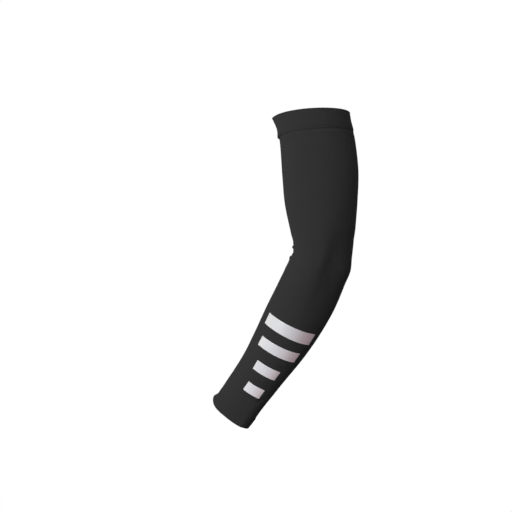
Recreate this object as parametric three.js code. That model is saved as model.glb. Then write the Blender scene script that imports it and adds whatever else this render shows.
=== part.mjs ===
// Arm sleeve: a knitted tube for the upper arm, elbow and forearm, in the form that it has on a
// bent arm, with a folded band at the top, a turned hem at the wrist and four reflective stripes.
// The upper-arm mouth is at the origin, the arm goes in along -Z and the forearm bends to -X.
import * as THREE from "three";

// Driving sizes, in millimetres, and angles, in degrees.
const UPPER_LENGTH = 174; // mouth to the middle of the elbow, along the arm
const FOREARM_LENGTH = 235.5; // middle of the elbow to the wrist edge, along the arm
const ELBOW_RUN = 34; // length of the stretch that bends at the elbow
const ELBOW_BEND = 27.5; // turn of that stretch
const FOREARM_SWEEP = 18; // further turn, spread evenly down the forearm
const ARM_WIDTH = 92; // front to back at the fullest place of the upper arm
const ARM_DEPTH = 87; // side to side there
const ELBOW_WIDTH = 72; // front to back just above the elbow
const ELBOW_DEPTH = 81; // side to side there
const FOREARM_WIDTH = 74; // front to back at the fullest place of the forearm
const FOREARM_DEPTH = 78; // side to side there
const WRIST_WIDTH = 60; // front to back at the wrist edge
const WRIST_DEPTH = 44; // side to side there
const KNIT = 1; // one layer of the knit
const CLEARANCE = 0.3; // between pieces that lie on each other
const LAP = 7; // how far a band's longer leg runs along the tube, past the tube's edge
const BAND_HEIGHT = 25; // folded band at the upper-arm mouth, which laps over the tube's outside
const HEM_HEIGHT = 15; // turned hem at the wrist, which laps inside the tube
const MOUTH_TILT = 3; // how much lower the mouth's edge is at the back of the arm
const TILT_RUN = 50; // how far down the arm that tilt dies out
const FOLD_HEIGHT = 2; // of the crook's larger fold
const FOLD_WIDTH = 3.4; // of that fold, from its crest to where a third of its height is left
const STRIPE_HEIGHT = 15; // of the stripe nearest the elbow, along the arm
const STRIPE_THICKNESS = 0.5;
const STRIPE_SLANT = 1.3; // how far that stripe climbs in one radian round the arm

const rad = THREE.MathUtils.degToRad;
const TOTAL_LENGTH = UPPER_LENGTH + FOREARM_LENGTH;
const TUBE_START = BAND_HEIGHT - LAP;
const TUBE_END = TOTAL_LENGTH - HEM_HEIGHT;
const DOUBLED = 2 * KNIT + CLEARANCE; // a folded band, with the same gap inside as round the tube

// How finely the cloth is faceted: sides round the arm and steps along it.
const SIDES = 44;
const STEP = 12;
const BAND_STEP = 6;
const FOLD_STEP = 3.5;
const EDGE_STEP = rad(36); // round a band's folded edge
const STRIPE_STEP = rad(7.5); // round the arm
const STRIPE_COLUMNS = 2; // along the arm

// Places down the arm: by shares of the upper arm and of the forearm, and of the elbow's bend
// counted from its middle.
const upper = (share) => UPPER_LENGTH * share;
const fore = (share) => UPPER_LENGTH + FOREARM_LENGTH * share;
const elbow = (share) => UPPER_LENGTH + ELBOW_RUN * share;

// Sections square to the middle line. front is the reach on the crook's side and back on the elbow
// tip's side, as shares of the width; side is the reach to either side, as a share of the depth.
const SECTIONS = [
  { at: upper(0), width: ARM_WIDTH, depth: ARM_DEPTH, front: 0.545, back: 0.47, side: 0.5 },
  { at: upper(0.08), width: ARM_WIDTH, depth: ARM_DEPTH, front: 0.485, back: 0.48, side: 0.5 },
  { at: upper(0.2), width: ARM_WIDTH, depth: ARM_DEPTH, front: 0.464, back: 0.525, side: 0.5 },
  { at: upper(0.42), width: ARM_WIDTH, depth: ARM_DEPTH, front: 0.466, back: 0.542, side: 0.5 },
  { at: upper(0.62), width: ARM_WIDTH, depth: ARM_DEPTH, front: 0.46, back: 0.505, side: 0.49 },
  { at: upper(0.82), width: ELBOW_WIDTH, depth: ELBOW_DEPTH, front: 0.52, back: 0.575, side: 0.51 },
  { at: upper(0.96), width: ELBOW_WIDTH, depth: ELBOW_DEPTH, front: 0.485, back: 0.51, side: 0.5 },
  { at: fore(0.08), width: ELBOW_WIDTH, depth: ELBOW_DEPTH, front: 0.51, back: 0.521, side: 0.5 },
  { at: fore(0.23), width: FOREARM_WIDTH, depth: FOREARM_DEPTH, front: 0.513, back: 0.518, side: 0.505 },
  { at: fore(0.38), width: FOREARM_WIDTH, depth: FOREARM_DEPTH, front: 0.513, back: 0.494, side: 0.48 },
  { at: fore(0.53), width: FOREARM_WIDTH, depth: FOREARM_DEPTH, front: 0.477, back: 0.453, side: 0.435 },
  { at: fore(0.69), width: WRIST_WIDTH, depth: WRIST_DEPTH, front: 0.53, back: 0.493, side: 0.65 },
  { at: fore(0.85), width: WRIST_WIDTH, depth: WRIST_DEPTH, front: 0.499, back: 0.47, side: 0.55 },
  { at: fore(0.96), width: WRIST_WIDTH, depth: WRIST_DEPTH, front: 0.475, back: 0.495, side: 0.51 },
  { at: fore(1), width: WRIST_WIDTH, depth: WRIST_DEPTH, front: 0.505, back: 0.503, side: 0.5 },
].map(({ at, width, depth, front, back, side }) => ({
  at,
  front: width * front,
  back: width * back,
  side: depth * side,
}));

// Folds and dents, each a soft ridge (or a hollow, where lift is below 0) at a place and an angle.
// Their spread: along the arm as a share of FOLD_WIDTH, round it in degrees. lift is a share of
// FOLD_HEIGHT. lean slants a fold and bow bends both its ends, by that share of FOLD_WIDTH where
// the spread round the arm ends.
const FOLDS = [
  { at: elbow(-0.29), angle: 186, along: 1, round: 44, lean: 0, bow: -0.9, lift: 1 },
  { at: elbow(-0.58), angle: 186, along: 1.8, round: 44, lean: 0, bow: -0.9, lift: -0.5 },
  { at: elbow(0.43), angle: 186, along: 1, round: 40, lean: 0, bow: 0.9, lift: 0.8 },
  { at: elbow(0.24), angle: 0, along: 2, round: 45, lean: 0, bow: 0, lift: 0.7 },
  { at: elbow(0.4), angle: 314, along: 12, round: 28, lean: -6, bow: 0, lift: -2.1 },
  { at: elbow(0.41), angle: 50, along: 7.5, round: 24, lean: 5.5, bow: 0, lift: -1.5 },
  { at: fore(0.17), angle: 334, along: 11, round: 28, lean: -2.5, bow: 0, lift: -1.6 },
  { at: fore(0.81), angle: 321, along: 0.8, round: 11, lean: -1.5, bow: 0, lift: -0.6 },
  { at: fore(0.845), angle: 325, along: 2.6, round: 21, lean: 0.8, bow: 0, lift: 0.5 },
];
const FOLDS_START = elbow(-0.7);
const FOLDS_END = elbow(0.9);
const WRIST_FOLDS_START = fore(0.78);
const WRIST_FOLDS_END = fore(0.87);

// Stripes: their edge nearest the elbow, their height and slant as shares of the first one's, and
// the angles that they run between.
const STRIPES = [
  { at: fore(0.369), height: 1, slant: 1, from: 230.5, to: 340 },
  { at: fore(0.492), height: 0.88, slant: 1.85, from: 240.5, to: 332 },
  { at: fore(0.62), height: 0.89, slant: 1.5, from: 258, to: 318 },
  { at: fore(0.749), height: 0.9, slant: 1.6, from: 266.5, to: 313.5 },
];

// The middle line: straight to the elbow, a tight bend there, then a long gentle one to the wrist.
const BENDS = [
  { start: UPPER_LENGTH - ELBOW_RUN / 2, run: ELBOW_RUN, turn: rad(ELBOW_BEND) },
  { start: UPPER_LENGTH + ELBOW_RUN / 2, run: FOREARM_LENGTH - ELBOW_RUN / 2, turn: rad(FOREARM_SWEEP) },
];

function middleAt(distance) {
  const place = { x: 0, z: -Math.min(distance, BENDS[0].start), heading: 0 };
  for (const { start, run, turn } of BENDS) {
    const gone = THREE.MathUtils.clamp(distance - start, 0, run);
    const turned = (turn * gone) / run;
    const chord = turned ? (gone * Math.sin(turned / 2)) / (turned / 2) : gone;
    place.x -= chord * Math.sin(place.heading + turned / 2);
    place.z -= chord * Math.cos(place.heading + turned / 2);
    place.heading += turned;
  }
  return place;
}

// A smooth curve through one column of the sections.
function smoothColumn(column, distance) {
  const last = SECTIONS.length - 1;
  const slope = (i) => {
    const before = SECTIONS[Math.max(i - 1, 0)];
    const after = SECTIONS[Math.min(i + 1, last)];
    return (after[column] - before[column]) / (after.at - before.at);
  };
  const next = SECTIONS.findIndex((row) => row.at >= distance);
  const i = THREE.MathUtils.clamp(next < 0 ? last - 1 : next - 1, 0, last - 1);
  const span = SECTIONS[i + 1].at - SECTIONS[i].at;
  const t = THREE.MathUtils.clamp((distance - SECTIONS[i].at) / span, 0, 1);
  const rise = t * t * (3 - 2 * t);
  return (
    SECTIONS[i][column] * (1 - rise) +
    SECTIONS[i + 1][column] * rise +
    span * t * (1 - t) * ((1 - t) * slope(i) - t * slope(i + 1))
  );
}

function foldLift(distance, angle) {
  let lift = 0;
  for (const fold of FOLDS) {
    const degrees = THREE.MathUtils.radToDeg(angle) - fold.angle;
    const round = (THREE.MathUtils.euclideanModulo(degrees + 180, 360) - 180) / fold.round;
    const shift = fold.lean * round + fold.bow * round ** 2;
    const along = ((distance - fold.at) / FOLD_WIDTH - shift) / fold.along;
    lift += FOLD_HEIGHT * fold.lift * Math.exp(-(along ** 2) - round ** 2);
  }
  return lift;
}

// A point of the cloth: a distance down the arm, an angle round it (0 at the back, 180 at the
// crook) and a lift off the tube's outer face.
function clothPoint(distance, angle, lift) {
  const tilt = MOUTH_TILT * 0.5 * (1 + Math.cos(angle)) * Math.max(0, 1 - distance / TILT_RUN);
  const down = distance + tilt;
  const { x, z, heading } = middleAt(down);
  const side = smoothColumn("side", down);
  const reach = smoothColumn(Math.cos(angle) > 0 ? "back" : "front", down);
  const out = new THREE.Vector2(side * Math.cos(angle), reach * Math.sin(angle)).normalize();
  const raised = lift + foldLift(down, angle);
  const across = reach * Math.cos(angle) + out.x * raised;
  return new THREE.Vector3(
    x + across * Math.cos(heading),
    side * Math.sin(angle) + out.y * raised,
    z - across * Math.sin(heading),
  );
}

function spread(from, to, step) {
  const count = Math.max(1, Math.round((to - from) / step));
  return Array.from({ length: count + 1 }, (_, i) => from + ((to - from) * i) / count);
}

// Distances down the tube, closer together where the cloth folds.
function tubeStations() {
  return [
    ...spread(TUBE_START, FOLDS_START, STEP),
    ...spread(FOLDS_START, FOLDS_END, FOLD_STEP).slice(1),
    ...spread(FOLDS_END, WRIST_FOLDS_START, STEP).slice(1),
    ...spread(WRIST_FOLDS_START, WRIST_FOLDS_END, FOLD_STEP).slice(1),
    ...spread(WRIST_FOLDS_END, TUBE_END, STEP).slice(1),
  ];
}

function closedMesh(points, faces) {
  const geometry = new THREE.BufferGeometry().setFromPoints(points);
  geometry.setIndex(faces.flatMap(([a, b, c, d]) => [a, b, c, a, c, d]));
  geometry.computeVertexNormals();
  return geometry;
}

// A ring of cloth: a closed profile of distances and lifts, carried once round the arm.
function clothRing(profile) {
  const points = [];
  const faces = [];
  profile.forEach(({ distance, lift }, i) => {
    const next = (i + 1) % profile.length;
    for (let j = 0; j < SIDES; j++) {
      const turn = (j + 1) % SIDES;
      points.push(clothPoint(distance, (2 * Math.PI * j) / SIDES, lift));
      faces.push([i * SIDES + j, next * SIDES + j, next * SIDES + turn, i * SIDES + turn]);
    }
  });
  return closedMesh(points, faces);
}

function tubeGeometry() {
  const stations = tubeStations();
  return clothRing([
    ...stations.map((distance) => ({ distance, lift: 0 })),
    ...stations.reverse().map((distance) => ({ distance, lift: -KNIT })),
  ]);
}

// A doubled band at a mouth, folded at the mouth's edge: a leg outside and a leg inside, of which
// the shorter one stops at the tube's edge and the longer one lies along the tube.
function bandGeometry({ edge, into, outerLift, outerEnd, innerEnd }) {
  const half = DOUBLED / 2;
  const innerLift = outerLift - DOUBLED;
  const stepLift = outerEnd > innerEnd ? outerLift - KNIT : innerLift + KNIT;
  const fold = spread(-Math.PI / 2, Math.PI / 2, EDGE_STEP).map((turn) => ({
    distance: half * (1 - Math.cos(turn)),
    lift: outerLift - half + half * Math.sin(turn),
  }));
  const profile = [
    ...fold,
    ...spread(half, outerEnd, BAND_STEP).slice(1).map((distance) => ({ distance, lift: outerLift })),
    { distance: outerEnd, lift: stepLift },
    { distance: innerEnd, lift: stepLift },
    ...spread(innerEnd, half, -BAND_STEP).slice(0, -1).map((distance) => ({ distance, lift: innerLift })),
  ].map(({ distance, lift }) => ({ distance: edge + into * distance, lift }));
  return clothRing(into > 0 ? profile : profile.reverse());
}

const UPPER_BAND = {
  edge: 0,
  into: 1,
  outerLift: CLEARANCE + KNIT,
  outerEnd: BAND_HEIGHT,
  innerEnd: TUBE_START - CLEARANCE,
};
const WRIST_HEM = {
  edge: TOTAL_LENGTH,
  into: -1,
  outerLift: 0,
  outerEnd: HEM_HEIGHT - CLEARANCE,
  innerEnd: HEM_HEIGHT + LAP,
};

// A stripe: a thin patch of film on the tube, closed on all six sides.
function stripeGeometry({ at, height, slant, from, to }) {
  const angles = spread(rad(from), rad(to), STRIPE_STEP);
  const reach = STRIPE_HEIGHT * height;
  const places = spread(0, reach, reach / STRIPE_COLUMNS);
  const climb = (angle) => STRIPE_SLANT * slant * (angle - rad((from + to) / 2));
  const columns = places.length;
  const layer = angles.length * columns;
  const points = [CLEARANCE, CLEARANCE + STRIPE_THICKNESS].flatMap((lift) =>
    angles.flatMap((angle) =>
      places.map((place) => clothPoint(at + place - climb(angle), angle, lift)),
    ),
  );
  const faces = [];
  for (let i = 0; i < angles.length - 1; i++)
    for (let j = 0; j < columns - 1; j++) {
      const corner = i * columns + j;
      const face = [corner, corner + columns, corner + columns + 1, corner + 1];
      faces.push(face, face.map((index) => index + layer).reverse());
    }
  const rim = [
    ...places.map((_, j) => j),
    ...angles.slice(1).map((_, i) => (i + 2) * columns - 1),
    ...places.slice(1).map((_, j) => layer - 2 - j),
    ...angles.slice(2).map((_, i) => layer - (i + 2) * columns),
  ];
  rim.forEach((corner, i) => {
    const next = rim[(i + 1) % rim.length];
    faces.push([corner, next, next + layer, corner + layer]);
  });
  return closedMesh(points, faces);
}

const MATERIALS = {
  knit: { color: 0x2f2f31, roughness: 0.85, metalness: 0 },
  bandKnit: { color: 0x2c2c2e, roughness: 0.9, metalness: 0 },
  film: { color: 0xd9d7dc, roughness: 0.35, metalness: 0.3 },
};

function piece(name, geometry, material) {
  const mesh = new THREE.Mesh(geometry, new THREE.MeshStandardMaterial(material));
  mesh.name = name;
  return mesh;
}

const cloth = new THREE.Group();
cloth.add(piece("sleeve_tube", tubeGeometry(), MATERIALS.knit));
cloth.add(piece("upper_band", bandGeometry(UPPER_BAND), MATERIALS.bandKnit));
cloth.add(piece("wrist_hem", bandGeometry(WRIST_HEM), MATERIALS.bandKnit));

const stripes = new THREE.Group();
STRIPES.forEach((stripe, i) => {
  stripes.add(piece(`stripe_${i + 1}`, stripeGeometry(stripe), MATERIALS.film));
});

const armSleeve = new THREE.Group();
armSleeve.add(cloth, stripes);

export default armSleeve;
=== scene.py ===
"""Arm sleeve: a charcoal stretch-knit tube in the form that it has on a bent arm, with a folded band
at the upper arm, a turned hem at the wrist and four silver reflective stripes on the forearm.

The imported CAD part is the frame. Every cloth piece here is a finer one in the place of its CAD node,
made from the same sizes and the same surface: a distance down the arm, an angle round it and a lift
off the cloth's outer face. Lengths are in metres, and angles in degrees where a name or table says
so. The arm goes in along -Z, the forearm bends to -X, and the stripes face -Y."""
from math import atan, cos, pi, radians, sin

import bpy
import numpy as np
from mathutils import Matrix, Vector


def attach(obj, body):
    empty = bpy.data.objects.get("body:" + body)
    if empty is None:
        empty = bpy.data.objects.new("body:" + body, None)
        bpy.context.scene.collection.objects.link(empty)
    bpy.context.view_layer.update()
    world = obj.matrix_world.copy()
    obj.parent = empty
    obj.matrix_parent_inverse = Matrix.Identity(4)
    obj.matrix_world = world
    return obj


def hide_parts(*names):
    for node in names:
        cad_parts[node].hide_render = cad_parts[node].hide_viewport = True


MM = 0.001

# The sleeve's sizes, as the CAD part has them.
UPPER_LENGTH = 174 * MM
FOREARM_LENGTH = 235.5 * MM
ELBOW_RUN = 34 * MM
ELBOW_BEND = radians(27.5)
FOREARM_SWEEP = radians(18)
ARM_WIDTH = 92 * MM
ARM_DEPTH = 87 * MM
ELBOW_WIDTH = 72 * MM
ELBOW_DEPTH = 81 * MM
FOREARM_WIDTH = 74 * MM
FOREARM_DEPTH = 78 * MM
WRIST_WIDTH = 60 * MM
WRIST_DEPTH = 44 * MM
KNIT = 1 * MM
CLEARANCE = 0.3 * MM
LAP = 7 * MM
BAND_HEIGHT = 25 * MM
HEM_HEIGHT = 15 * MM
MOUTH_TILT = 3 * MM
TILT_RUN = 50 * MM
FOLD_HEIGHT = 2 * MM
FOLD_WIDTH = 3.4 * MM
STRIPE_HEIGHT = 15 * MM
STRIPE_SLANT = 1.3 * MM

TOTAL_LENGTH = UPPER_LENGTH + FOREARM_LENGTH
TUBE_START = BAND_HEIGHT - LAP
TUBE_END = TOTAL_LENGTH - HEM_HEIGHT
DOUBLED = 2 * KNIT + CLEARANCE


# Places down the arm: by shares of the upper arm and of the forearm, and of the elbow's bend
# counted from its middle.
def upper(share):
    return UPPER_LENGTH * share


def fore(share):
    return UPPER_LENGTH + FOREARM_LENGTH * share


def elbow(share):
    return UPPER_LENGTH + ELBOW_RUN * share


# Sections square to the middle line: place, width and depth, then the reach to the crook's side and
# to the elbow tip's side as shares of the width, and to either side as a share of the depth.
SECTION_COLUMNS = ("at", "width", "depth", "front", "back", "side")
SECTIONS = [
    (upper(0), ARM_WIDTH, ARM_DEPTH, 0.545, 0.47, 0.5),
    (upper(0.08), ARM_WIDTH, ARM_DEPTH, 0.485, 0.48, 0.5),
    (upper(0.2), ARM_WIDTH, ARM_DEPTH, 0.464, 0.525, 0.5),
    (upper(0.42), ARM_WIDTH, ARM_DEPTH, 0.466, 0.542, 0.5),
    (upper(0.62), ARM_WIDTH, ARM_DEPTH, 0.46, 0.505, 0.49),
    (upper(0.82), ELBOW_WIDTH, ELBOW_DEPTH, 0.52, 0.575, 0.51),
    (upper(0.96), ELBOW_WIDTH, ELBOW_DEPTH, 0.485, 0.51, 0.5),
    (fore(0.08), ELBOW_WIDTH, ELBOW_DEPTH, 0.51, 0.521, 0.5),
    (fore(0.23), FOREARM_WIDTH, FOREARM_DEPTH, 0.513, 0.518, 0.505),
    (fore(0.38), FOREARM_WIDTH, FOREARM_DEPTH, 0.513, 0.494, 0.48),
    (fore(0.53), FOREARM_WIDTH, FOREARM_DEPTH, 0.477, 0.453, 0.435),
    (fore(0.69), WRIST_WIDTH, WRIST_DEPTH, 0.53, 0.493, 0.65),
    (fore(0.85), WRIST_WIDTH, WRIST_DEPTH, 0.499, 0.47, 0.55),
    (fore(0.96), WRIST_WIDTH, WRIST_DEPTH, 0.475, 0.495, 0.51),
    (fore(1), WRIST_WIDTH, WRIST_DEPTH, 0.505, 0.503, 0.5),
]

# Folds and dents: place, angle, spread along the arm and round it, lean, bow and lift. along, lean,
# bow and lift are shares of the fold's width and height; angle and round are in degrees.
FOLDS = [
    (elbow(-0.29), 186, 1, 44, 0, -0.9, 1),
    (elbow(-0.58), 186, 1.8, 44, 0, -0.9, -0.5),
    (elbow(0.43), 186, 1, 40, 0, 0.9, 0.8),
    (elbow(0.24), 0, 2, 45, 0, 0, 0.7),
    (elbow(0.4), 314, 12, 28, -6, 0, -2.1),
    (elbow(0.41), 50, 7.5, 24, 5.5, 0, -1.5),
    (fore(0.17), 334, 11, 28, -2.5, 0, -1.6),
    (fore(0.81), 321, 0.8, 11, -1.5, 0, -0.6),
    (fore(0.845), 325, 2.6, 21, 0.8, 0, 0.5),
]

# Finer creases and the wrist's soft ridge, in the same columns, which the CAD part doesn't have.
CREASES = [
    (elbow(0.05), 308, 4.6, 13, -1.5, 0, -0.5),
    (elbow(0.1), 289, 5, 9, -1.5, 0, 0.3),
    (elbow(0.06), 186, 0.5, 40, 0, 0, -0.3),
    (elbow(-0.55), 205, 0.7, 26, -1.2, 0, 0.16),
    (elbow(0.78), 172, 0.7, 24, 1.4, 0, 0.16),
    (elbow(0.95), 214, 0.8, 22, 1.2, 0, 0.1),
    (elbow(-0.95), 160, 0.8, 24, 1.0, 0, 0.1),
    (fore(0.97), 322, 8, 22, -1.5, 0, 1.5),
    (fore(0.96), 316, 8, 9, -1.0, 0, 0.28),
    (fore(0.9), 322, 0.5, 12, -1.6, 0, -0.14),
    (fore(0.87), 30, 0.6, 14, 1.8, 0, -0.16),
    (fore(0.8), 205, 0.7, 16, 1.0, 0, 0.1),
]

# Stripes: their edge nearest the elbow, their height and slant as shares of the first one's, and the
# angles that they run between.
STRIPES = [
    (fore(0.369), 1, 1, 230.5, 340),
    (fore(0.492), 0.88, 1.85, 240.5, 332),
    (fore(0.62), 0.89, 1.5, 258, 318),
    (fore(0.749), 0.9, 1.6, 266.5, 313.5),
]

# Places where an edge lies a little further down the arm or, below 0, further up it, which the CAD
# part doesn't have: place, spread along the arm, angle, spread round the arm and how far.
SAGS = [
    (0.0, 7 * MM, 212, 24, 0.8 * MM),
    (BAND_HEIGHT, 6 * MM, 196, 26, 1.3 * MM),
    (TOTAL_LENGTH, 11 * MM, 234, 32, 3.0 * MM),
    (TOTAL_LENGTH, 11 * MM, 325, 24, -2.5 * MM),
]

# The middle line's bends: start, run and turn. The last one goes on a little past the wrist.
PAST_WRIST = 4 * MM
SWEEP_RUN = FOREARM_LENGTH - ELBOW_RUN / 2
BENDS = [
    (UPPER_LENGTH - ELBOW_RUN / 2, ELBOW_RUN, ELBOW_BEND),
    (UPPER_LENGTH + ELBOW_RUN / 2, SWEEP_RUN + PAST_WRIST, FOREARM_SWEEP * (1 + PAST_WRIST / SWEEP_RUN)),
]

# How finely the cloth is drawn.
TUBE_SIDES = 180
BAND_SIDES = 360
TUBE_STEP = 2.4 * MM
FOLD_STEP = 1.0 * MM
BAND_STEP = 0.8 * MM
STRIPE_STEP = 0.6 * MM

# The knit: columns of loops round the arm, and rows of loops for each metre along it.
WALES = 420
COURSES = 1900

# The reflective film, as it lies on the knit.
FILM = 0.35 * MM
FILM_EDGE = 0.3 * MM
FILM_SUNK = 0.1 * MM

# The seams: the thread, its stitches, and where they lie.
THREAD = 0.4 * MM
STITCH_PITCH = 3.0 * MM
STITCH_SHARE = 0.84
STITCH_POINTS = 9
STITCH_RISE = 0.16 * MM
ZIGZAG_PITCH = 2.2 * MM
ZIGZAG_REACH = 1.7 * MM
ZIGZAG_POINTS = 8
THREAD_SIDES = 8
BAND_STITCHES_AT = BAND_HEIGHT - 1.8 * MM
HEM_STITCHES_AT = TUBE_END + 0.5 * CLEARANCE

# Seeds of the uneven pull of each seam's stitches.
BAND_PULL_SEED = 5
HEM_PULL_SEED = 8

# Where the band lies loose and the hem is pinched, both on the crook's side, where the tube lies flat
# under the band and the hem stands out, both on the elbow tip's, and where the band's seam is drawn
# in at the front: angle and spread round the arm.
BAND_LOOSE = (196, 24)
HEM_PINCHED = (195, 25)
TUBE_FLAT = (12, 42)
HEM_PROUD = (15, 28)
SEAM_DRAWN_IN = (290, 36)

# Low relief of the cloth, which the CAD part doesn't have: how far it rises or goes in.
UNEVEN = 0.22 * MM
FINELY_UNEVEN = 0.10 * MM
BAND_UNEVEN = 0.20 * MM
HEM_UNEVEN = 0.16 * MM
SEAM_GROOVE = 0.9 * MM
BAND_STITCH_PULL = 0.62 * MM
BAND_STANDS_OFF = 0.9 * MM
BAND_FOLD_PRESSED = 0.22 * MM
GATHERS_BELOW_BAND = 0.5 * MM
HEM_STITCH_PULL = 0.10 * MM
GATHERS_ABOVE_HEM = 0.06 * MM
HEM_STANDS_OUT = 0.7 * MM
HEM_PINCH = 0.9 * MM


def column(rows, columns, name):
    return np.array([row[columns.index(name)] for row in rows])


SECTION_AT = column(SECTIONS, SECTION_COLUMNS, "at")
WIDTHS = column(SECTIONS, SECTION_COLUMNS, "width")
DEPTHS = column(SECTIONS, SECTION_COLUMNS, "depth")
FRONT_REACH = WIDTHS * column(SECTIONS, SECTION_COLUMNS, "front")
BACK_REACH = WIDTHS * column(SECTIONS, SECTION_COLUMNS, "back")
SIDE_REACH = DEPTHS * column(SECTIONS, SECTION_COLUMNS, "side")


def middle_at(distance):
    """The middle line's x, z and heading at a distance down the arm."""
    x = np.zeros_like(distance)
    z = -np.minimum(distance, BENDS[0][0])
    heading = np.zeros_like(distance)
    for start, run, turn in BENDS:
        gone = np.clip(distance - start, 0, run)
        turned = turn * gone / run
        chord = gone * np.sinc(turned / (2 * pi))
        x = x - chord * np.sin(heading + turned / 2)
        z = z - chord * np.cos(heading + turned / 2)
        heading = heading + turned
    return x, z, heading


def smooth_reach(reach, distance):
    """A smooth curve through one column of the sections."""
    inner = (reach[2:] - reach[:-2]) / (SECTION_AT[2:] - SECTION_AT[:-2])
    first = (reach[1] - reach[0]) / (SECTION_AT[1] - SECTION_AT[0])
    last = (reach[-1] - reach[-2]) / (SECTION_AT[-1] - SECTION_AT[-2])
    slope = np.concatenate([[first], inner, [last]])
    i = np.clip(np.searchsorted(SECTION_AT, distance) - 1, 0, len(SECTION_AT) - 2)
    span = SECTION_AT[i + 1] - SECTION_AT[i]
    t = np.clip((distance - SECTION_AT[i]) / span, 0, 1)
    rise = t * t * (3 - 2 * t)
    level = reach[i] * (1 - rise) + reach[i + 1] * rise
    return level + span * t * (1 - t) * ((1 - t) * slope[i] - t * slope[i + 1])


def hill(value, middle, width):
    """A smooth hill: 1 at its middle, and a third of that a width away."""
    return np.exp(-(((value - middle) / width) ** 2))


def turned_from(angle, where):
    """How far an angle is from a place round the arm given in degrees, between -180 and 180."""
    return (np.degrees(angle) - where + 180) % 360 - 180


def beside(angle, place):
    """1 at a place round the arm, given as its angle and spread, and 0 well away from it."""
    where, round_arm = place
    return hill(turned_from(angle, where), 0, round_arm)


def sag(distance, angle):
    """How much further down the arm a point lies than its distance says."""
    gone = 0.0
    for at, along, where, round_arm, drop in SAGS:
        gone = gone + drop * hill(distance, at, along) * beside(angle, (where, round_arm))
    return gone


def fold_lift(distance, angle):
    """Lift of the folds, dents and creases."""
    lift = 0.0
    for at, where, along, round_arm, lean, bow, height in FOLDS + CREASES:
        turned = turned_from(angle, where) / round_arm
        shift = lean * turned + bow * turned**2
        gone = ((distance - at) / FOLD_WIDTH - shift) / along
        lift = lift + FOLD_HEIGHT * height * np.exp(-(gone**2) - turned**2)
    return lift


def cloth_point(distance, angle, lift):
    """Points of the cloth: angle 0 is the elbow tip's side, and half a turn is the crook's."""
    distance, angle, lift = np.broadcast_arrays(distance, angle, lift)
    tilt = MOUTH_TILT * 0.5 * (1 + np.cos(angle)) * np.maximum(0, 1 - distance / TILT_RUN)
    down = distance + tilt + sag(distance, angle)
    x, z, heading = middle_at(down)
    side = smooth_reach(SIDE_REACH, down)
    back = smooth_reach(BACK_REACH, down)
    reach = np.where(np.cos(angle) > 0, back, smooth_reach(FRONT_REACH, down))
    out_across = side * np.cos(angle)
    out_side = reach * np.sin(angle)
    raised = (lift + fold_lift(down, angle)) / np.hypot(out_across, out_side)
    across = reach * np.cos(angle) + out_across * raised
    sideways = side * np.sin(angle) + out_side * raised
    return np.stack([x + across * np.cos(heading), sideways, z - across * np.sin(heading)], -1)


def wobble(angle, turns, seed):
    """An even mix of waves round the arm, about that many of them, between -1 and 1."""
    chance = np.random.default_rng(seed)
    waves = 0.0
    for share in (0.55, 0.8, 1.0, 1.35, 1.7):
        count = round(turns * share)
        waves = waves + np.cos(count * angle + chance.uniform(0, 2 * pi))
    return waves / 5


def seam_pucker(angle, seed):
    """How far the stitches draw the cloth in, from about 0.4 to 1.6 of the usual."""
    return 1 + 0.35 * wobble(angle, 46, seed) + 0.25 * wobble(angle, 17, seed + 1)


def seam_groove(distance, angle):
    """How far the band's seam is drawn into the arm at the front, band and tube together."""
    front = beside(angle, SEAM_DRAWN_IN)
    return -SEAM_GROOVE * front * hill(distance, BAND_HEIGHT - 0.2 * MM, 3.2 * MM)


def tube_relief(distance, angle):
    """Lift of the worn tube beside its plain form: soft unevenness, and the pull of both seams."""
    soft = UNEVEN * wobble(angle + 9 * distance, 5, 3) * np.sin(31 * distance + 1.0)
    soft = soft + FINELY_UNEVEN * wobble(angle - 14 * distance, 9, 4) * np.sin(74 * distance)
    facing = 1 - 0.9 * beside(angle, TUBE_FLAT) - 0.9 * beside(angle, BAND_LOOSE)
    below_band = GATHERS_BELOW_BAND * facing * hill(distance, BAND_HEIGHT + 3.8 * MM, 2.6 * MM)
    below_band = below_band * seam_pucker(angle, BAND_PULL_SEED)
    pull = -HEM_STITCH_PULL * hill(distance, TUBE_END, 1.5 * MM)
    bulge = GATHERS_ABOVE_HEM * hill(distance, TUBE_END - 5 * MM, 3.2 * MM)
    above_hem = (pull + bulge) * seam_pucker(angle, HEM_PULL_SEED)
    return soft + below_band + above_hem + seam_groove(distance, angle)


def band_relief(distance, angle):
    """Lift of the folded band: drawn in along its stitches and a little loose between them."""
    loose = beside(angle, BAND_LOOSE)
    pull = -BAND_STITCH_PULL * (1 - loose) * hill(distance, BAND_HEIGHT - 0.4 * MM, 2.3 * MM)
    pull = pull * seam_pucker(angle, BAND_PULL_SEED)
    proud = BAND_STANDS_OFF * loose * hill(distance, BAND_HEIGHT - 1.0 * MM, 4 * MM)
    pressed = -BAND_FOLD_PRESSED * hill(distance, 3.2 * MM, 1.3 * MM)
    body = BAND_UNEVEN * wobble(angle + 20 * distance, 7, 11) * hill(distance, 0.5 * BAND_HEIGHT, 9 * MM)
    return pull + proud + pressed + body + seam_groove(distance, angle)


def hem_relief(distance, angle):
    """Lift of the turned hem: drawn in along its stitches and beside the wrist's inner corner."""
    pull = -HEM_STITCH_PULL * hill(distance, TUBE_END, 1.5 * MM)
    pull = pull * seam_pucker(angle, HEM_PULL_SEED)
    body = HEM_UNEVEN * wobble(angle, 6, 14) * hill(distance, TOTAL_LENGTH - 0.5 * HEM_HEIGHT, 5 * MM)
    proud = HEM_STANDS_OUT * beside(angle, HEM_PROUD)
    pinched = -HEM_PINCH * beside(angle, HEM_PINCHED) * hill(distance, TOTAL_LENGTH - 6 * MM, 5 * MM)
    return pull + body + proud + pinched


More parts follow.
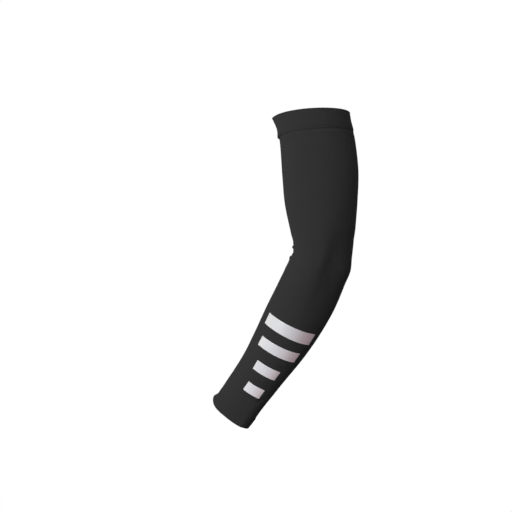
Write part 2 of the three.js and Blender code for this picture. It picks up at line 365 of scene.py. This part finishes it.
def spread(start, end, step):
    """Values from start to end, both included, about a step apart."""
    return np.linspace(start, end, max(1, round(abs(end - start) / step)) + 1)


def add_mesh(name, points, faces, finish, knit_map=None):
    """A new piece on the CAD body, with its loops' places in the knit as a UV map."""
    mesh = bpy.data.meshes.new(name)
    mesh.from_pydata(points.reshape(-1, 3).tolist(), [], faces.tolist())
    mesh.polygons.foreach_set("use_smooth", np.ones(len(faces), dtype=bool))
    if knit_map is not None:
        layer = mesh.uv_layers.new(name="knit")
        layer.uv.foreach_set("vector", knit_map.astype(np.float32).ravel())
    mesh.update()
    piece = bpy.data.objects.new(name, mesh)
    bpy.context.scene.collection.objects.link(piece)
    mesh.materials.append(finish)
    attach(piece, "root")
    return piece


def add_ring(name, profile, relief, sides, finish):
    """A ring of cloth: a closed profile of (distance, lift), carried once round the arm."""
    profile = np.array(profile)
    count = len(profile)
    turns = np.arange(sides)
    distance = profile[:, :1]
    angle = 2 * pi * turns[None, :] / sides
    points = cloth_point(distance, angle, profile[:, 1:] + relief(distance, angle))
    row, turn = np.meshgrid(np.arange(count), turns, indexing="ij")
    next_row, next_turn = (row + 1) % count, (turn + 1) % sides
    corners = [(row, turn), (next_row, turn), (next_row, next_turn), (row, next_turn)]
    faces = np.stack([r * sides + t for r, t in corners], -1).reshape(-1, 4)
    gone = np.linalg.norm(np.diff(profile, axis=0, append=profile[:1]), axis=1)
    along = np.concatenate([[0], np.cumsum(gone)]) * COURSES
    around = WALES / sides
    places = [(turn, row), (turn, row + 1), (turn + 1, row + 1), (turn + 1, row)]
    knit_map = np.stack([np.stack([t * around, along[r]], -1) for t, r in places], -2)
    return add_mesh(name, points, faces, finish, knit_map)


def tube_stations():
    """Distances down the tube, closer together where the cloth folds and at the seams."""
    near_band = BAND_HEIGHT + 12 * MM
    folds_start = elbow(-1.2)
    folds_end = elbow(1.2)
    wrist_start = fore(0.76)
    stretches = [
        (TUBE_START, near_band, FOLD_STEP),
        (near_band, folds_start, TUBE_STEP),
        (folds_start, folds_end, FOLD_STEP),
        (folds_end, wrist_start, TUBE_STEP),
        (wrist_start, TUBE_END, FOLD_STEP),
    ]
    parts = [spread(*stretch)[:-1] for stretch in stretches]
    return np.concatenate([*parts, [TUBE_END]])


def make_tube(finish):
    """The knitted tube: one wall, from under the band to the hem's seam, which it nearly touches."""
    stations = tube_stations()
    cut = 0.25 * KNIT
    sewn = TUBE_END + 0.4 * CLEARANCE
    outer = [(distance, 0.0) for distance in stations[1:-1]]
    inner = [(distance, -KNIT) for distance in stations[-2:0:-1]]
    start = [(TUBE_START, -KNIT + cut), (TUBE_START, -cut), (TUBE_START + cut, 0.0)]
    end = [(sewn - 0.3 * cut, 0.0), (sewn, -0.3 * cut), (sewn, -KNIT + cut)]
    profile = start + outer + end + inner
    return add_ring("knit_tube", profile, tube_relief, TUBE_SIDES, finish)


def folded_profile(outer_lift, outer_end, inner_end):
    """A band folded at its edge, from there to the ends of an outside and an inside leg."""
    half = DOUBLED / 2
    inner_lift = outer_lift - DOUBLED
    step_lift = outer_lift - KNIT if outer_end > inner_end else inner_lift + KNIT
    soft = 0.25 * KNIT
    turns = np.linspace(-pi / 2, pi / 2, 13)
    fold = [(half * (1 - cos(t)), outer_lift - half + half * sin(t)) for t in turns]
    outer = [(distance, outer_lift) for distance in spread(half, outer_end - soft, BAND_STEP)[1:]]
    inner = [(distance, inner_lift) for distance in spread(inner_end - soft, half, BAND_STEP)[:-1]]
    ends = [(outer_end, outer_lift - soft), (outer_end, step_lift), (inner_end, step_lift)]
    return fold + outer + ends + [(inner_end, inner_lift + soft)] + inner


def make_band(finish):
    """The band: folded at the mouth, with its longer leg over the outside of the tube."""
    profile = folded_profile(CLEARANCE + KNIT, BAND_HEIGHT, TUBE_START - CLEARANCE)
    return add_ring("mouth_band", profile, band_relief, BAND_SIDES, finish)


def make_hem(finish):
    """The hem: folded at the wrist, flush with the tube outside and lapped over it inside."""
    folded = folded_profile(0.0, HEM_HEIGHT - CLEARANCE, HEM_HEIGHT + LAP)
    profile = [(TOTAL_LENGTH - distance, lift) for distance, lift in reversed(folded)]
    return add_ring("cuff_hem", profile, hem_relief, BAND_SIDES, finish)


def pad_faces(rows, columns):
    """Faces of a closed pad: a grid of points on top, the same below it, and a wall all round."""
    row, turn = np.meshgrid(np.arange(rows - 1), np.arange(columns - 1), indexing="ij")
    corner = row * columns + turn
    grid = np.stack([corner, corner + columns, corner + columns + 1, corner + 1], -1).reshape(-1, 4)
    layer = rows * columns
    rim = np.concatenate([
        np.arange(columns),
        np.arange(1, rows) * columns + columns - 1,
        (rows - 1) * columns + np.arange(columns - 2, -1, -1),
        np.arange(rows - 2, 0, -1) * columns,
    ])
    following = np.roll(rim, -1)
    wall = np.stack([rim, following, following + layer, rim + layer], -1)
    return np.concatenate([grid, grid[:, ::-1] + layer, wall])


def make_stripe(number, finish):
    """One stripe of film: a thin pad on the tube with softly rounded edges, closed underneath."""
    at, share, slant, start, end = STRIPES[number - 1]
    height = STRIPE_HEIGHT * share
    first, last = radians(start), radians(end)
    girth_share = 1 / float(smooth_reach(SIDE_REACH, np.array([at + height / 2]))[0])
    edge = np.array([0.0, 0.12, 0.45, 1.0]) * FILM_EDGE
    inner = spread(FILM_EDGE, height - FILM_EDGE, STRIPE_STEP)[1:-1]
    places = np.concatenate([edge, inner, height - edge[::-1]])
    turned = edge * girth_share
    middle = spread(first + turned[-1], last - turned[-1], STRIPE_STEP * girth_share)[1:-1]
    angles = np.concatenate([first + turned, middle, last - turned[::-1]])
    place, angle = np.meshgrid(places, angles, indexing="ij")
    near_end = np.minimum(angle - first, last - angle) / girth_share
    near_edge = np.minimum(np.minimum(place, height - place), near_end) / FILM_EDGE
    round_off = np.sqrt(1 - (1 - np.clip(near_edge, 0, 1)) ** 2)
    distance = at + place - STRIPE_SLANT * slant * (angle - (first + last) / 2)
    cloth = tube_relief(distance, angle)
    top = cloth_point(distance, angle, cloth + FILM * round_off)
    bottom = cloth_point(distance, angle, cloth - FILM_SUNK)
    faces = pad_faces(*place.shape)
    wale = angle.ravel() * WALES / (2 * pi)
    course = distance.ravel() * COURSES
    knit_map = np.tile(np.stack([wale, course], -1), (2, 1))[faces]
    points = np.concatenate([top.reshape(-1, 3), bottom.reshape(-1, 3)])
    piece = add_mesh(f"film_stripe_{number}", points, faces, finish, knit_map)
    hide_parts(f"stripe_{number}")
    return piece


def add_thread(name, path, outward, radius, closed, finish):
    """Threads swept along rows of points. outward says which way is off the cloth."""
    if closed:
        ahead = np.roll(path, -1, axis=1) - np.roll(path, 1, axis=1)
    else:
        ahead = np.gradient(path, axis=1)
    ahead = ahead / np.linalg.norm(ahead, axis=-1, keepdims=True)
    sideways = np.cross(ahead, outward)
    sideways = sideways / np.linalg.norm(sideways, axis=-1, keepdims=True)
    up = np.cross(sideways, ahead)
    turn = 2 * pi * np.arange(THREAD_SIDES) / THREAD_SIDES
    ring = np.cos(turn)[:, None] * up[:, :, None, :] + np.sin(turn)[:, None] * sideways[:, :, None, :]
    points = path[:, :, None, :] + ring * radius[None, :, None, None]
    rows, stops = path.shape[:2]
    last = stops if closed else stops - 1
    row, stop, side = np.meshgrid(
        np.arange(rows), np.arange(last), np.arange(THREAD_SIDES), indexing="ij"
    )
    next_stop, next_side = (stop + 1) % stops, (side + 1) % THREAD_SIDES

    def index(at, round_thread):
        return (row * stops + at) * THREAD_SIDES + round_thread

    corners = [(stop, side), (stop, next_side), (next_stop, next_side), (next_stop, side)]
    faces = np.stack([index(*corner) for corner in corners], -1).reshape(-1, 4)
    places = [(stop, side), (stop, side + 1), (stop + 1, side + 1), (stop + 1, side)]
    twist_map = np.stack([np.stack([s / THREAD_SIDES, a / stops], -1) for a, s in places], -2)
    return add_mesh(name, points, faces, finish, twist_map)


def off_cloth(distance, angle):
    """Unit vectors straight off the cloth."""
    way = cloth_point(distance, angle, MM) - cloth_point(distance, angle, 0.0)
    return way / np.linalg.norm(way, axis=-1, keepdims=True)


def stitches_round(at, pitch):
    """How many stitches of that pitch go round the arm there."""
    ring = cloth_point(at, 2 * pi * np.arange(361) / 360, 0.0)
    girth = np.linalg.norm(np.diff(ring, axis=0), axis=1).sum()
    return round(girth / pitch)


def add_stitch_row(name, at, lift, relief, finish):
    """A row of straight stitches round the arm, each one dipping into the cloth at its ends."""
    count = stitches_round(at, STITCH_PITCH)
    share = np.linspace(0, 1, STITCH_POINTS)
    angle = 2 * pi * (np.arange(count)[:, None] + 0.5 + STITCH_SHARE * (share[None, :] - 0.5)) / count
    arch = STITCH_RISE * (1 - (2 * share - 1) ** 4) - 0.5 * STITCH_RISE
    distance = np.full_like(angle, at)
    path = cloth_point(distance, angle, lift + relief(distance, angle) + arch)
    radius = 0.5 * THREAD * (0.35 + 0.65 * (1 - (2 * share - 1) ** 6))
    return add_thread(name, path, off_cloth(distance, angle), radius, False, finish)


def add_zigzag(name, at, lift, relief, finish):
    """The overlock's thread inside the sleeve: one closed zigzag over a cut edge."""
    count = stitches_round(at, ZIGZAG_PITCH)
    points = count * ZIGZAG_POINTS
    angle = 2 * pi * np.arange(points)[None, :] / points
    wave = np.sin(count * angle)
    distance = at + ZIGZAG_REACH * np.sign(wave) * np.abs(wave) ** 0.7
    path = cloth_point(distance, angle, lift + relief(distance, angle))
    radius = np.full(angle.shape[1], 0.5 * THREAD)
    return add_thread(name, path, off_cloth(distance, angle), radius, True, finish)


class Value:
    """A number inside a material. Sums and products of values add their Math nodes."""

    def __init__(self, finish, socket):
        self.finish = finish
        self.socket = socket

    def math(self, operation, *others):
        settings = {"operation": operation}
        return self.finish.node("ShaderNodeMath", settings, dict(enumerate((self, *others))))

    def __add__(self, other):
        return self.math("ADD", other)

    __radd__ = __add__

    def __mul__(self, other):
        return self.math("MULTIPLY", other)

    __rmul__ = __mul__

    def __sub__(self, other):
        return self.math("SUBTRACT", other)

    def __rsub__(self, other):
        return self.finish.node("ShaderNodeMath", {"operation": "SUBTRACT"}, {0: other, 1: self})

    def __pow__(self, other):
        return self.math("POWER", other)

    def clipped(self):
        return self.finish.node("ShaderNodeClamp", {}, {"Value": self})


class Finish:
    """A material being made: its Principled shader, and a method that adds any other node."""

    def __init__(self, name, **sockets):
        self.material = bpy.data.materials.new(name)
        self.material.use_nodes = True
        self.tree = self.material.node_tree
        self.tree.nodes.clear()
        self.output = self.tree.nodes.new("ShaderNodeOutputMaterial")
        self.shader = self.tree.nodes.new("ShaderNodeBsdfPrincipled")
        self.tree.links.new(self.shader.outputs[0], self.output.inputs["Surface"])
        for socket, value in sockets.items():
            self.shader.inputs[socket.replace("_", " ")].default_value = value

    def node(self, kind, settings, inputs, output=0):
        node = self.tree.nodes.new(kind)
        for setting, value in settings.items():
            if setting == "stops":
                self.set_stops(node.color_ramp, value)
            else:
                setattr(node, setting, value)
        for socket, value in inputs.items():
            self.feed(node.inputs[socket], value)
        return Value(self, node.outputs[output])

    def feed(self, socket, value):
        if isinstance(value, Value):
            self.tree.links.new(value.socket, socket)
        else:
            socket.default_value = value

    @staticmethod
    def set_stops(ramp, stops):
        while len(ramp.elements) < len(stops):
            ramp.elements.new(1.0)
        for element, (position, colour) in zip(ramp.elements, stops):
            element.position = position
            element.color = (*colour, 1.0)

    def set(self, socket, value):
        self.feed(self.shader.inputs[socket], value)

    def mix(self, share, first, second):
        """A colour between two others."""
        inputs = {"Factor": share}
        settings = {"data_type": "RGBA"}
        colours = {6: first, 7: second}
        return self.node("ShaderNodeMix", settings, {**inputs, **colours}, 2)

    def noise(self, vector, scale, detail=2.0, roughness=0.5):
        inputs = {"Vector": vector, "Scale": scale, "Detail": detail, "Roughness": roughness}
        return self.node("ShaderNodeTexNoise", {}, inputs, "Fac")

    def place(self):
        """The piece's own place, in metres."""
        return self.node("ShaderNodeTexCoord", {}, {}, "Object")

    def knit_place(self):
        """The place in the knit: columns of loops and rows of loops."""
        knit = self.node("ShaderNodeUVMap", {"uv_map": "knit"}, {})
        wale = self.node("ShaderNodeSeparateXYZ", {}, {0: knit}, "X")
        course = self.node("ShaderNodeSeparateXYZ", {}, {0: knit}, "Y")
        return wale, course

    def bump(self, height, strength, depth):
        inputs = {"Strength": strength, "Distance": depth, "Height": height}
        return self.node("ShaderNodeBump", {}, inputs)


def grey(level, warm=0.0):
    """A near-grey colour, a little warm or, below 0, a little cool."""
    return (level * (1 + warm), level, level * (1 - warm), 1.0)


def knit_relief(wale, course):
    """Height of plain knit, 0 to 1: columns of V-shaped loops, one above the other."""
    off_middle = (wale.math("FRACT") - 0.5).math("ABSOLUTE") * 2
    leg = 1 - (off_middle * 2 - 1) ** 2
    rows = ((course + off_middle * 0.6) * (2 * pi)).math("COSINE") * 0.5 + 0.5
    return leg * (rows * 0.6 + 0.4)


def knit_finish(name, level, relief_depth):
    """Charcoal nylon knit: loops with painted shade in the gaps between them, streaks along them, faint
    fuzz and slow changes of shade.
    """
    finish = Finish(name, Specular_IOR_Level=0.14, Diffuse_Roughness=0.8)
    wale, course = finish.knit_place()
    loops = knit_relief(wale, course)
    streak_place = finish.node("ShaderNodeCombineXYZ", {}, {"X": wale * 0.9, "Y": course * 0.03})
    streaks = finish.noise(streak_place, 1.0)
    place = finish.place()
    patches = finish.noise(place, 34.0, 3.0)
    fuzz = finish.noise(place, 2600.0, 2.0, 0.6)
    # The loops' share paints shade into the gaps between the loops, added to the knit's own streaks,
    # patches and fuzz.
    shade = loops * 0.34 + streaks * 0.30 + patches * 0.36 + fuzz * 0.16
    colour = finish.mix((shade * 0.9).clipped(), grey(level * 0.74), grey(level * 1.32))
    finish.set("Base Color", colour)
    finish.set("Roughness", 0.72 + patches * 0.12 - loops * 0.05)
    height = loops + fuzz * 0.35 + streaks * 0.4
    finish.set("Normal", finish.bump(height, 0.6, relief_depth))
    return finish.material


# The film's colour by its place round the arm, as shares of a whole turn: partly the film's own
# silver-to-mauve tint and partly painted light, with levels round the arm set to the light falling on it
# and a mauve towards the elbow tip's side that is partly a painted warm reflection.
FILM_TINTS_AND_PAINTED_LIGHT = [
    (0.665, (0.98, 0.98, 0.99)),
    (0.72, (0.865, 0.87, 0.90)),
    (0.79, (0.885, 0.885, 0.93)),
    (0.835, (0.86, 0.80, 0.85)),
    (0.87, (0.78, 0.66, 0.70)),
    (0.90, (0.89, 0.65, 0.73)),
    (0.93, (1.0, 0.80, 0.86)),
]

# The film grows paler down the arm: its share of those tints in the first stripe's middle, and what
# that gains over the forearm's length.
FILM_PALENESS = 0.95
FILM_PALER_BY = 0.34
FILM_PALER_FROM = fore(0.4)


def film_finish():
    """Silver reflective film: a fine beaded grain over the knit's faint relief, with painted light in
    its colour round the arm.
    """
    finish = Finish("reflective_film", Specular_IOR_Level=0.5, Diffuse_Roughness=0.9)
    wale, course = finish.knit_place()
    loops = knit_relief(wale, course)
    place = finish.place()
    beads = finish.node("ShaderNodeTexVoronoi", {}, {"Vector": place, "Scale": 5200.0}, "Distance")
    patches = finish.noise(place, 60.0, 3.0)
    round_arm = wale * (1 / WALES)
    # Painted light: the colour round the arm carries painted shade and a painted warm reflection along
    # with the film's own tint.
    tint_and_painted_light = finish.node("ShaderNodeValToRGB", {"stops": FILM_TINTS_AND_PAINTED_LIGHT}, {"Fac": round_arm}, "Color")
    gone = course * (1 / COURSES) - FILM_PALER_FROM
    paleness = gone * (FILM_PALER_BY / FOREARM_LENGTH) + FILM_PALENESS
    paled = finish.node("ShaderNodeVectorMath", {"operation": "SCALE"}, {0: tint_and_painted_light, "Scale": paleness})
    grain = (beads * 0.5 + patches * 0.25).clipped()
    finish.set("Base Color", finish.mix(grain * 0.5, paled, grey(0.6, 0.01)))
    finish.set("Roughness", 0.34 + patches * 0.12 + beads * 0.12)
    finish.set("Metallic", 0.1)
    height = beads * 0.5 + loops * 0.5
    finish.set("Normal", finish.bump(height, 0.35, 0.08 * MM))
    return finish.material


def thread_finish():
    """Charcoal sewing thread with its twist."""
    finish = Finish("sewing_thread", Specular_IOR_Level=0.4)
    around, along = finish.knit_place()
    twist = ((around * 2 + along * 14) * (2 * pi)).math("SINE") * 0.5 + 0.5
    fuzz = finish.noise(finish.place(), 3000.0)
    shade = (twist * 0.6 + fuzz * 0.4).clipped()
    finish.set("Base Color", finish.mix(shade, grey(0.022), grey(0.05)))
    finish.set("Roughness", 0.55 + fuzz * 0.15)
    finish.set("Normal", finish.bump(twist, 0.6, 0.1 * MM))
    return finish.material


def stage_finish():
    """The pale floor and the wall that it curves up into."""
    finish = Finish("pale_stage", Base_Color=grey(0.04), Roughness=1.0, Specular_IOR_Level=0.0)
    finish.set("Emission Color", grey(1.0))
    finish.set("Emission Strength", 1.0)
    return finish.material


# The stage: a round floor well below the sleeve, which curves up into a wall all round.
FLOOR_DEPTH = 0.72
FLOOR_RADIUS = 2.4
COVE_RADIUS = 1.2
WALL_HEIGHT = 9.0
STAGE_SIDES = 96


def add_stage():
    """The floor and wall as one mesh, which neither lights nor shades the sleeve."""
    arc = np.linspace(0, pi / 2, 25)
    cove_radii = FLOOR_RADIUS + COVE_RADIUS * np.sin(arc)
    cove_heights = -FLOOR_DEPTH + COVE_RADIUS * (1 - np.cos(arc))
    radii = np.array([0.6 * FLOOR_RADIUS, *cove_radii, FLOOR_RADIUS + COVE_RADIUS])
    heights = np.array([-FLOOR_DEPTH, *cove_heights, WALL_HEIGHT])
    turn = 2 * pi * np.arange(STAGE_SIDES) / STAGE_SIDES
    x = radii[:, None] * np.cos(turn)
    y = radii[:, None] * np.sin(turn)
    z = np.broadcast_to(heights[:, None], x.shape)
    points = np.stack([x, y, z], -1).reshape(-1, 3)
    row, side = np.meshgrid(np.arange(len(radii) - 1), np.arange(STAGE_SIDES), indexing="ij")
    next_side = (side + 1) % STAGE_SIDES
    corners = [(row, side), (row, next_side), (row + 1, next_side), (row + 1, side)]
    faces = np.stack([r * STAGE_SIDES + t for r, t in corners], -1).reshape(-1, 4).tolist()
    mesh = bpy.data.meshes.new("stage")
    mesh.from_pydata(points.tolist(), [], [list(range(STAGE_SIDES))] + faces)
    mesh.polygons.foreach_set("use_smooth", [True] * len(mesh.polygons))
    mesh.materials.append(stage_finish())
    stage = bpy.data.objects.new("stage", mesh)
    bpy.context.scene.collection.objects.link(stage)
    stage.visible_diffuse = False
    stage.visible_glossy = False
    stage.visible_shadow = False


# Soft lights: name, azimuth and elevation seen from the sleeve, distance, size and watts.
LIGHTS = [
    ("key", -20, 10, 1.6, 0.9, 20.5),
    ("side", 80, 50, 1.6, 0.9, 5.7),
    ("back", 196, 4, 1.6, 0.9, 15),
]
WORLD_STRENGTH = 0.155
SLEEVE_MIDDLE = Vector((-0.03, 0.0, -0.19))


def add_lights():
    for name, azimuth, elevation, distance, size, watts in LIGHTS:
        a, e = radians(azimuth), radians(elevation)
        way = Vector((sin(a) * cos(e), -cos(a) * cos(e), sin(e)))
        data = bpy.data.lights.new(name, "AREA")
        data.shape = "DISK"
        data.size = size
        data.energy = watts
        light = bpy.data.objects.new(name, data)
        light.location = SLEEVE_MIDDLE + distance * way
        light.rotation_mode = "QUATERNION"
        light.rotation_quaternion = way.to_track_quat("Z", "Y")
        bpy.context.scene.collection.objects.link(light)
    world = bpy.data.worlds.new("studio")
    world.use_nodes = True
    world.node_tree.nodes["Background"].inputs["Color"].default_value = grey(1.0)
    world.node_tree.nodes["Background"].inputs["Strength"].default_value = WORLD_STRENGTH
    bpy.context.scene.world = world


# The camera: level with the sleeve, a little to its right, and turned by a few degrees.
LENS = 50.0
SENSOR = 36.0
IMAGE_SIZE = 512
CAMERA_AZIMUTH = radians(15)
CAMERA_DISTANCE = 0.870
CAMERA_ROLL = radians(-4.2)
# It looks at the elbow's middle, which lies in this column of the picture.
LOOKED_AT = Vector((0.0, 0.0, -UPPER_LENGTH))
LOOKED_AT_COLUMN = 323.5


def add_camera():
    back = Vector((sin(CAMERA_AZIMUTH), -cos(CAMERA_AZIMUTH), 0.0))
    right = (-back).cross(Vector((0.0, 0.0, 1.0)))
    up = back.cross(right)
    rolled_right = cos(CAMERA_ROLL) * right + sin(CAMERA_ROLL) * up
    rolled_up = cos(CAMERA_ROLL) * up - sin(CAMERA_ROLL) * right
    turn = atan((LOOKED_AT_COLUMN - IMAGE_SIZE / 2) / (LENS / SENSOR * IMAGE_SIZE))
    seen_right = cos(turn) * rolled_right - sin(turn) * back
    seen_back = cos(turn) * back + sin(turn) * rolled_right
    data = bpy.data.cameras.new("camera")
    data.lens = LENS
    data.sensor_width = SENSOR
    camera = bpy.data.objects.new("camera", data)
    bpy.context.scene.collection.objects.link(camera)
    place = LOOKED_AT + CAMERA_DISTANCE * back
    axes = Matrix((seen_right, rolled_up, seen_back)).transposed()
    camera.matrix_world = Matrix.Translation(place) @ axes.to_4x4()
    bpy.context.scene.camera = camera


def make_sleeve():
    """All the pieces, with the CAD nodes that they replace."""
    knit = knit_finish("charcoal_knit", 0.036, 0.25 * MM)
    band_knit = knit_finish("charcoal_band_knit", 0.0355, 0.22 * MM)
    film = film_finish()
    thread = thread_finish()
    tube = make_tube(knit)
    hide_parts("sleeve_tube")
    band = make_band(band_knit)
    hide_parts("upper_band")
    hem = make_hem(band_knit)
    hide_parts("wrist_hem")
    stripes = [make_stripe(number, film) for number in range(1, len(STRIPES) + 1)]
    face = CLEARANCE + KNIT
    seams = [
        add_stitch_row("band_stitches", BAND_STITCHES_AT, face, band_relief, thread),
        add_stitch_row("hem_stitches", HEM_STITCHES_AT, 0.0, hem_relief, thread),
        add_zigzag("band_overlock", TUBE_START, -KNIT, tube_relief, thread),
        add_zigzag("hem_overlock", TUBE_END - LAP, -DOUBLED, hem_relief, thread),
    ]


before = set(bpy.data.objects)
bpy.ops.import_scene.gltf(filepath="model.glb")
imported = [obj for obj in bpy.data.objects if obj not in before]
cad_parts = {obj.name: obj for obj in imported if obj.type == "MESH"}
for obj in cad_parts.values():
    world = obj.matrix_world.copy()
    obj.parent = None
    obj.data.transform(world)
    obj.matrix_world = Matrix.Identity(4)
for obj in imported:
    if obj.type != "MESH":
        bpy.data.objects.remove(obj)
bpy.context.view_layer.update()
bpy.context.scene.view_settings.view_transform = "Standard"
add_camera()
add_stage()
add_lights()
make_sleeve()
